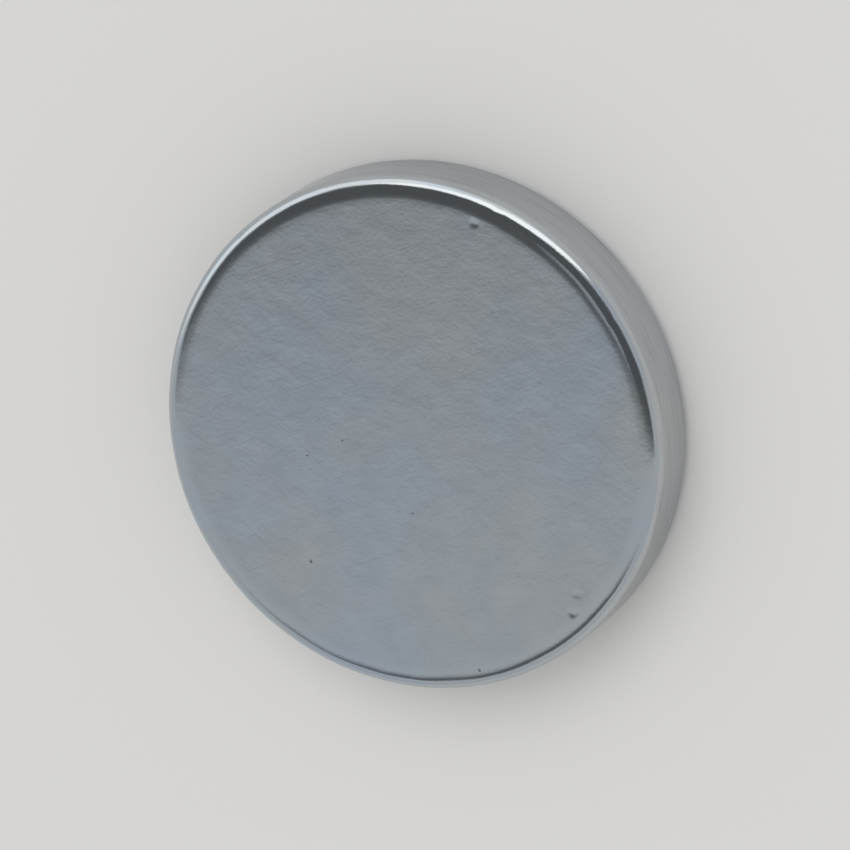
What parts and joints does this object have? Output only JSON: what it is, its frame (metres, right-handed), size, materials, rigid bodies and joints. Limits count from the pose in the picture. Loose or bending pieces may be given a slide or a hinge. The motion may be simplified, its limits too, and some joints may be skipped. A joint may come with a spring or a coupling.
{
  "type": "disc magnet",
  "caption": "Small plated disc magnet with flat round pole faces, a straight rim and softly tumbled corners.",
  "frame": {"origin": "middle of the lower pole face, on the surface that the disc lies on", "axes": "+Z along the disc's axis, up out of the upper pole face; the disc is round, so X and Y are free"},
  "size_m": [0.006, 0.006, 0.001],
  "materials": {
    "zinc_plate": "bright blue-white zinc plating over a ground and tumbled sintered disc"
  },
  "bodies": {
    "root": {"disc_magnet": "zinc_plate"}
  },
  "joints": []
}
